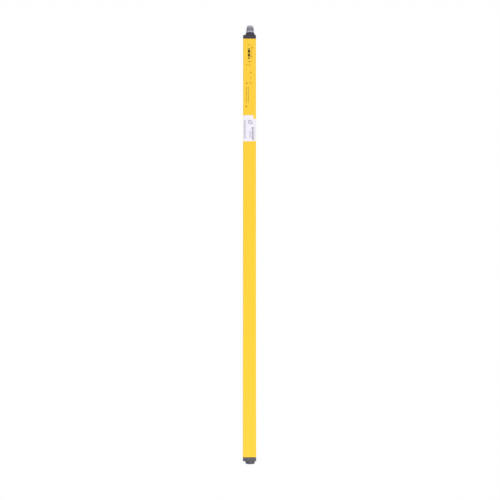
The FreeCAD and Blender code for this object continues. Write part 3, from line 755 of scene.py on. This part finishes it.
@dataclass
class DustCap:
    """The cloudy cap over the plug: beaded rim, ribbed body and rounded tip."""

    shop: Workshop
    rim_radius: float = 15.3 * MM
    rim_top: float = 7.0 * MM
    rim_inner: float = 13.3 * MM
    rim_edge: float = 0.8 * MM
    band: float = 0.6 * MM
    base_radius: float = 13.95 * MM
    tip_radius: float = 12.0 * MM
    tip_round: float = 3.4 * MM
    wall: float = 1.1 * MM
    shoulder_wall: float = 1.5 * MM
    throat: float = 2.0 * MM
    lift: float = 0.3 * MM
    ribs: int = 24
    rib_steps: int = 5
    rib_faces: int = 3
    rib_rise: float = 0.4 * MM
    rib_slope: float = 0.35 * MM
    rib_foot: float = 0.5 * MM
    rib_head: float = 0.2 * MM
    rib_margin: float = 0.4 * MM
    nub: float = 1.6 * MM
    nub_depth: float = 0.35 * MM
    # How much the painted shade and highlight cover the plastic's own colour.
    painted_shade_share: float = 0.85

    def material(self) -> bpy.types.Material:
        """Cloudy plastic with painted shade and highlight: darker where the plug shows through,
        pale at the lit rim and tip.
        """
        low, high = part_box("dust_cap")
        material = CLOUDY_CAP.material(self.shop.groups)
        tree = material.node_tree
        shader = tree.nodes["Principled BSDF"]
        base = shader.inputs["Base Color"].links[0].from_socket
        place = add_node(tree, "TexCoord").outputs["Object"]
        split = add_node(tree, "SeparateXYZ", {"Vector": place})
        height = add_node(tree, "MapRange", {"Value": split.outputs["Z"], "From Min": low.z,
                                             "From Max": high.z})
        # Painted shade and highlight, by height up the cap.
        ramp = add_node(tree, "ValToRGB", {"Fac": height.outputs["Result"]})
        elements = ramp.color_ramp.elements
        while len(elements) < len(DUST_CAP_PAINTED_SHADE_AND_HIGHLIGHT):
            elements.new(0.5)
        for element, (share, colour) in zip(elements, DUST_CAP_PAINTED_SHADE_AND_HIGHLIGHT):
            element.position = share
            element.color = (*colour, 1)
        mix = add_node(tree, "Mix", {"Factor": self.painted_shade_share, "A": base,
                                     "B": ramp.outputs["Color"]}, data_type="RGBA")
        feed(tree, shader, {"Base Color": mix.outputs["Result"]})
        return material

    def outline(self, tall: float) -> list[tuple[float, float]]:
        """Half the section of the shell.

        Args:
            tall: The cap's height.

        Returns:
            Radius and height of each corner.
        """
        edge, rim_top = self.rim_edge, self.rim_top - self.lift
        points = [(self.rim_inner, 0.0), (self.rim_radius - edge, 0.0)]
        points += arc_points((self.rim_radius - edge, edge), edge, -90, 0, steps=5)
        points += arc_points((self.rim_radius - edge, rim_top - edge), edge, 0, 90, steps=5)
        points += [(self.base_radius, rim_top), (self.base_radius, rim_top + self.band)]
        lean = (self.base_radius - self.tip_radius) / (tall - rim_top)
        shoulder = tall - self.tip_round
        start = self.base_radius - lean * (shoulder - rim_top)
        points += arc_points((start - self.tip_round, shoulder), self.tip_round, 0, 90, steps=8)
        points += [(self.nub, tall), (self.nub, tall - self.nub_depth),
                   (0.0, tall - self.nub_depth), (0.0, tall - self.wall)]
        return points + [(start - self.tip_round, tall - self.wall),
                         (start - self.shoulder_wall, shoulder),
                         (self.base_radius - self.wall, rim_top),
                         (self.rim_inner, rim_top - self.throat)]

    def raise_ribs(self, shape: bmesh.types.BMesh, foot: float, tall: float) -> None:
        """Lift soft grip ribs out of the body's outer wall.

        Args:
            shape: The lathed shell.
            foot: Height of the cap's foot.
            tall: The cap's height.
        """
        bottom = foot + self.rim_top - self.lift + self.rib_foot
        top = foot + tall - self.tip_round + self.rib_head
        step = math.tau / (self.ribs * self.rib_steps)
        chosen = []
        for face in shape.faces:
            middle = face.calc_center_median()
            across = math.hypot(middle.x, middle.y)
            if not bottom < middle.z < top or across < self.tip_radius - self.rib_margin:
                continue
            column = int((math.atan2(middle.y, middle.x) % math.tau) / step)
            if column % self.rib_steps < self.rib_faces:
                chosen.append(face)
        bmesh.ops.inset_region(shape, faces=chosen, thickness=self.rib_slope,
                               depth=self.rib_rise, use_even_offset=True, use_boundary=True)

    def build(self) -> None:
        """Build the cap in place of its solid."""
        low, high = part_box("dust_cap")
        tall = high.z - low.z
        shape = lathe(self.outline(tall), self.ribs * self.rib_steps, low.z)
        bmesh.ops.recalc_face_normals(shape, faces=shape.faces[:])
        self.raise_ribs(shape, low.z, tall)
        self.shop.piece("dust_cap_shell", shape, "dust_cap_plastic", self.material(),
                        ["dust_cap"], smooth=50)


@dataclass
class Plug:
    """The threaded plug under the dust cap."""

    shop: Workshop
    pitch: float = 1.5 * MM
    turns: int = 7
    first_turn: float = 0.8
    radius: float = 13.0 * MM
    crest_share: float = 0.18
    crest_root: float = 0.2 * MM
    crest_rise: float = 0.09 * MM

    def build(self) -> None:
        """Add the thread's crests round the shell."""
        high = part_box("plug_shell")[1]
        half = self.pitch * self.crest_share
        root, top = self.radius - self.crest_root, self.radius + self.crest_rise
        shape = bmesh.new()
        for turn in range(self.turns):
            ring = lathe([(root, -half * 2), (top, -half), (top, half), (root, half * 2)], 64,
                         high.z - self.pitch * (turn + self.first_turn))
            mesh = bpy.data.meshes.new("crest")
            ring.to_mesh(mesh)
            ring.free()
            shape.from_mesh(mesh)
            bpy.data.meshes.remove(mesh)
        self.shop.piece("plug_thread", shape, "plug_metal", NICKEL.material(self.shop.groups))


@dataclass
class Digit:
    """The one-digit display behind the window: black case, seven pale bars and a dot."""

    shop: Workshop
    case_edge: float = 0.35 * MM
    bar_wide: float = 1.1 * MM
    glyph_wide: float = 5.0 * MM
    glyph_tall: float = 9.2 * MM
    bar_gap: float = 0.25 * MM
    bar_depth: float = 0.25 * MM
    recess: float = 0.15 * MM
    dot_radius: float = 0.6 * MM
    dot_away: float = 1.3 * MM

    def bar(self, shape: bmesh.types.BMesh, y: float, z: float, length: float, upright: bool,
            face: float) -> None:
        """Add one bar, a flat hexagon whose two halves are drawn apart.

        Args:
            shape: The bmesh that it joins.
            y: Its middle across.
            z: Its middle up.
            length: Its length.
            upright: Whether it stands.
            face: The front face of the case.
        """
        made = add_drum(shape, self.bar_wide / 2, self.bar_depth * 2, 6)
        bmesh.ops.transform(shape, matrix=Matrix.Rotation(math.pi / 2, 4, "Y"), verts=made)
        if not upright:
            bmesh.ops.transform(shape, matrix=Matrix.Rotation(math.pi / 2, 4, "X"), verts=made)
        stretch = length / 2 - self.bar_wide / 2
        axis = 2 if upright else 1
        away = Vector((0, 0, stretch)) if upright else Vector((0, stretch, 0))
        low = [v for v in made if v.co[axis] < 0]
        high = [v for v in made if v.co[axis] > 0]
        bmesh.ops.translate(shape, vec=away, verts=high)
        bmesh.ops.translate(shape, vec=-away, verts=low)
        bmesh.ops.translate(shape, vec=Vector((face, y, z)), verts=made)

    def build(self) -> None:
        """Build the case and its bars in place of their solid."""
        low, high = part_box("seven_segment_display")
        face = high.x - self.recess
        case = box_shape(low, Vector((face, high.y, high.z)))
        bevel(case, edges_at(case, 0, face), self.case_edge)
        self.shop.piece("digit_case", case, "component_black",
                        PACKAGE_BLACK.material(self.shop.groups), ["seven_segment_display"])
        y, z = (low.y + high.y) / 2, (low.z + high.z) / 2
        half, quarter = self.glyph_wide / 2, self.glyph_tall / 4
        bars = bmesh.new()
        for place in (-2, 0, 2):
            self.bar(bars, y, z + place * quarter, self.glyph_wide - self.bar_wide - self.bar_gap,
                     False, face)
        for side in (-half, half):
            for place in (-1, 1):
                self.bar(bars, y + side, z + place * quarter,
                         self.glyph_tall / 2 - self.bar_gap * 2, True, face)
        dot = Matrix.Translation((face, y + half + self.dot_away, z - 2 * quarter))
        add_drum(bars, self.dot_radius, self.bar_depth * 2, 16,
                 dot @ Matrix.Rotation(math.pi / 2, 4, "Y"))
        self.shop.piece("digit_bars", bars, "indicator_plastic",
                        LAMP_MILK.material(self.shop.groups), weld=False)


Spot = tuple[float, float, float, float]


@dataclass(frozen=True)
class Column:
    """Printed blocks one above another, whose heights follow a short cycle.

    All lengths are in millimetres.  Block k is tall plus growth times the remainder of
    k * stride + start divided by cycle.
    """

    x: float
    foot: float
    pitch: float
    count: int
    wide: float
    tall: float
    growth: float = 1.0
    stride: int = 0
    start: int = 0
    cycle: int = 1

    def spots(self) -> list[Spot]:
        """The middle, width and height of each block."""
        return [(self.x, self.foot + self.pitch * k, self.wide,
                 self.tall + self.growth * ((k * self.stride + self.start) % self.cycle))
                for k in range(self.count)]


def print_blocks(shop: Workshop, name: str, face: float, spots: Sequence[Spot], finish: Finish,
                 slot: str = "sticker_paper", corner: float = 0.25,
                 thick: float = 0.03 * MM) -> None:
    """Lay flat rounded blocks of ink on a face that looks towards -Y.

    Args:
        shop: The workshop.
        name: The piece's name.
        face: The face's place along Y.
        spots: Middle along X and Z, width and height of each block, in millimetres.
        finish: The ink.
        slot: The record's material slot of what it is printed on.
        corner: Corner rounding as a share of a block's shorter side.
        thick: How far the ink stands proud.
    """
    shape = bmesh.new()
    for x, z, wide, tall in spots:
        place = Matrix.Translation((x * MM, face - thick / 2, z * MM))
        size = Matrix.Diagonal((wide * MM, thick, tall * MM, 1))
        made = bmesh.ops.create_cube(shape, size=1.0, matrix=place @ size)
        own = [e for v in made["verts"] for e in v.link_edges if e.verts[0] == v]
        bevel(shape, edges_along(own, 1, thick / 2), min(wide, tall) * MM * corner, segments=2)
    shop.piece(name, shape, slot, finish.material(shop.groups), weld=False)


@dataclass
class Stickers:
    """The two label films with plain generic marks."""

    shop: Workshop
    film: float = 0.11 * MM
    film_edge: float = 0.03 * MM
    corner: float = 1.2 * MM
    nodes: tuple[str, str] = ("wide_sticker", "narrow_sticker")

    def film_piece(self, node: str) -> None:
        """Build one rounded film in place of its solid.

        Args:
            node: The solid's name.
        """
        low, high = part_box(node)
        front = high.y - self.film
        shape = box_shape(Vector((low.x, front, low.z)), high)
        bevel(shape, edges_along(shape.edges, 1, self.film / 2), self.corner, segments=6)
        bevel(shape, edges_at(shape, 1, front), self.film_edge, segments=1)
        self.shop.piece(node + "_film", shape, "sticker_paper",
                        LABEL_FILM.material(self.shop.groups), [node], smooth=30, weld=False)

    @staticmethod
    def grey_squares() -> list[Spot]:
        """A loose grid of squares and short blocks with some places left out."""
        across, up = 4.4, 4.2
        return [(-6.2 + across * a, 1231.8 + up * b, 3.2 if (a + b) % 2 else 2.0, 2.8)
                for a in range(4) for b in range(4) if (a * 3 + b * 2) % 5]

    def build(self) -> None:
        """Build the films and their marks."""
        for node in self.nodes:
            self.film_piece(node)
        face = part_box(self.nodes[0])[1].y - self.film
        ladder = Column(x=-19.1, foot=1178.0, pitch=2.3, count=30, wide=5.0, tall=0.7,
                        growth=0.35, stride=7, cycle=4).spots()
        print_blocks(self.shop, "code_bars_green", face, ladder[0::2], GREEN_INK)
        print_blocks(self.shop, "code_bars_violet", face, ladder[1::2], VIOLET_INK)
        print_blocks(self.shop, "grey_fields", face, self.grey_squares(), GREY_INK)
        dark = [spot for x in (7.6, 10.6)
                for spot in Column(x, foot=1173.5, pitch=6.1, count=8, wide=2.0, tall=3.4,
                                   stride=5, cycle=3).spots()]
        dark += Column(x=14.6, foot=1172.0, pitch=5.2, count=10, wide=1.7, tall=2.6,
                       stride=3, cycle=2).spots()
        dark += [(x, 1192.0, 0.5, 28.0) for x in (-2.0, 0.5, 3.0)]
        print_blocks(self.shop, "dark_lines", face, dark, PRINT_INK)


BOLD_SPOTS: tuple[Spot, ...] = (
    (-4.0, 1513.4, 8.0, 2.8), (-4.0, 1504.2, 8.8, 12.2), (-4.0, 1489.6, 8.8, 12.0))
FINE_SPOTS: tuple[Spot, ...] = (
    (-4.0, 1478.0, 7.6, 6.8), (-4.0, 1528.5, 3.0, 5.4), (6.0, 1519.0, 1.4, 5.0),
    (8.2, 1517.8, 1.6, 7.6), (3.8, 1516.8, 1.4, 4.4), (5.4, 1482.4, 2.4, 5.2),
    (8.1, 1483.0, 1.2, 3.8), (-3.4, 1465.0, 4.2, 5.0), (3.2, 1466.0, 2.2, 6.0),
    (-12.0, 1453.0, 2.2, 6.5), (-2.6, 1452.0, 3.4, 5.0), (3.0, 1424.0, 3.0, 7.0),
    (2.8, 1403.5, 2.6, 5.0), (-11.8, 1384.0, 3.8, 5.4), (-2.4, 1385.0, 1.6, 5.0),
    (3.2, 1384.4, 2.2, 5.6))
SQUARE_SPOT: Spot = (-14.0, 1295.5, 4.0, 5.0)


@dataclass
class HousingPrint:
    """Plain generic marks printed on the coat of the label side."""

    shop: Workshop
    slot: str = "yellow_coat"

    def build(self) -> None:
        """Print the marks in rows down the upper end."""
        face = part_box("housing_profile")[0].y
        print_blocks(self.shop, "bold_marks", face, BOLD_SPOTS, COAT_INK, self.slot, corner=0.12)
        fine = list(FINE_SPOTS)
        for start, x in enumerate((-13.7, -6.1)):
            fine += Column(x, foot=1313.0, pitch=4.6, count=13, wide=2.8, tall=2.4, growth=0.5,
                           stride=7, start=start, cycle=3).spots()
        fine += Column(x=5.6, foot=1487.6, pitch=3.3, count=8, wide=2.0, tall=2.1).spots()
        print_blocks(self.shop, "fine_marks", face, fine, FAINT_INK, self.slot)
        print_blocks(self.shop, "square_mark", face, [SQUARE_SPOT], COAT_INK, self.slot,
                     corner=0.1)


@dataclass(frozen=True)
class Panel:
    """A soft rectangular light: where it stands, what it faces, watts, and width and height."""

    name: str
    place: tuple[float, float, float]
    aim: tuple[float, float, float]
    power: float
    size: tuple[float, float]


PANELS = (
    Panel("front_panel", (1.7, -2.5, 0.45), (0, 0, 0.6), power=36.5, size=(1.2, 1.6)),
    Panel("upper_panel", (0.1, -2.7, 2.35), (0, 0, 1.5), power=4.2, size=(1.0, 0.7)),
    Panel("lower_panel", (0.1, -1.5, -0.24), (0, 0, 0.05), power=1.6, size=(0.9, 0.2)),
    Panel("left_panel", (-2.0, -1.2, 1.0), (0, 0, 0.8), power=8.0, size=(0.8, 2.0)),
    Panel("back_panel", (0.9, 2.3, 0.9), (0, 0, 0.8), power=17.0, size=(1.4, 1.6)),
)


@dataclass
class Studio:
    """Floor, lights, surroundings and camera.

    The focal length and the image's side share one unit, and the pitch is in degrees.
    """

    distance: float = 3.3
    height: float = 0.5353
    shift: float = -0.3 * MM
    pitch: float = 4.0147
    focal: float = 901.2
    image: float = 500.0
    sensor: float = 36.0
    floor_drop: float = 0.35
    floor_radius: float = 1.0
    floor_grey: float = 0.93
    floor_roughness: float = 0.9
    ambient: float = 0.68

    def camera(self) -> None:
        """Stand the camera in front of the plain side face."""
        data = bpy.data.cameras.new("view")
        data.sensor_width = self.sensor
        data.lens = self.focal * self.sensor / self.image
        data.clip_start, data.clip_end = 0.05, 50.0
        camera = bpy.data.objects.new("view", data)
        camera.location = (self.shift, -self.distance, self.height)
        camera.rotation_euler = (math.radians(90 + self.pitch), 0, 0)
        bpy.context.scene.collection.objects.link(camera)
        bpy.context.scene.camera = camera

    def floor(self) -> None:
        """Lay a plain pale disc below the bar."""
        place = Matrix.Translation((0, 0, CAD_BOX[0].z - self.floor_drop))
        shape = bmesh.new()
        bmesh.ops.create_circle(shape, cap_ends=True, segments=96, radius=self.floor_radius,
                                matrix=place)
        mesh = bpy.data.meshes.new("floor")
        shape.to_mesh(mesh)
        shape.free()
        floor = bpy.data.objects.new("floor", mesh)
        material = bpy.data.materials.new("pale_floor")
        material.use_nodes = True
        feed(material.node_tree, material.node_tree.nodes["Principled BSDF"],
             {"Base Color": (*[self.floor_grey] * 3, 1), "Roughness": self.floor_roughness})
        mesh.materials.append(material)
        bpy.context.scene.collection.objects.link(floor)

    def light(self, panel: Panel) -> None:
        """Add a soft panel of light.

        Args:
            panel: The panel.
        """
        data = bpy.data.lights.new(panel.name, "AREA")
        data.shape = "RECTANGLE"
        data.size, data.size_y = panel.size
        data.energy = panel.power
        lamp = bpy.data.objects.new(panel.name, data)
        lamp.location = panel.place
        facing = Vector(panel.aim) - Vector(panel.place)
        lamp.rotation_euler = facing.to_track_quat("-Z", "Y").to_euler()
        bpy.context.scene.collection.objects.link(lamp)

    def world(self) -> None:
        """Surround the bar with white that is dimmer as a light than as a backdrop."""
        world = bpy.data.worlds.new("surroundings")
        bpy.context.scene.world = world
        world.use_nodes = True
        tree, white = world.node_tree, (1, 1, 1, 1)
        lit = tree.nodes["Background"]
        feed(tree, lit, {"Color": white, "Strength": self.ambient})
        seen = add_node(tree, "Background", {"Color": white, "Strength": 1.0})
        path = add_node(tree, "LightPath")
        mix = add_node(tree, "MixShader", {"Fac": path.outputs["Is Camera Ray"],
                                           1: lit.outputs["Background"],
                                           2: seen.outputs["Background"]})
        feed(tree, tree.nodes["World Output"], {"Surface": mix.outputs["Shader"]})

    def build(self) -> None:
        """Set the whole studio up."""
        bpy.context.scene.view_settings.view_transform = "Standard"
        self.camera()
        self.floor()
        self.world()
        for panel in PANELS:
            self.light(panel)


def dress_solids(groups: ShaderGroups) -> None:
    """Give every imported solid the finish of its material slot.

    Args:
        groups: The shared node groups.
    """
    for entry in frame["record"]["subparts"]:
        finish = NODE_FINISHES.get(entry["material_slot"])
        solid = frame["nodes"][entry["node"]]
        if finish and solid.material_slots:
            for place in range(len(solid.material_slots)):
                solid.material_slots[place].material = finish.material(groups)
        LOG.info("%s dressed", entry["node"])


def main() -> None:
    """Build the bar's looks in order."""
    logging.basicConfig(level=logging.INFO, format="%(message)s")
    groups = ShaderGroups()
    shop = Workshop(groups)
    dress_solids(groups)
    EndCap("upper_end_cap", shop, bored=True).build()
    # The lower cap takes the lighter copy of the nylon: painted sheen from the light below.
    EndCap("lower_end_cap", shop, bored=False, finish=PAINTED_SHEEN_AND_DUST_NYLON, boss_round=3.6 * MM).build()
    CapScrews(shop).build()
    DustCap(shop).build()
    Plug(shop).build()
    Digit(shop).build()
    Stickers(shop).build()
    HousingPrint(shop).build()
    Studio().build()


if __name__ == "__main__":
    main()
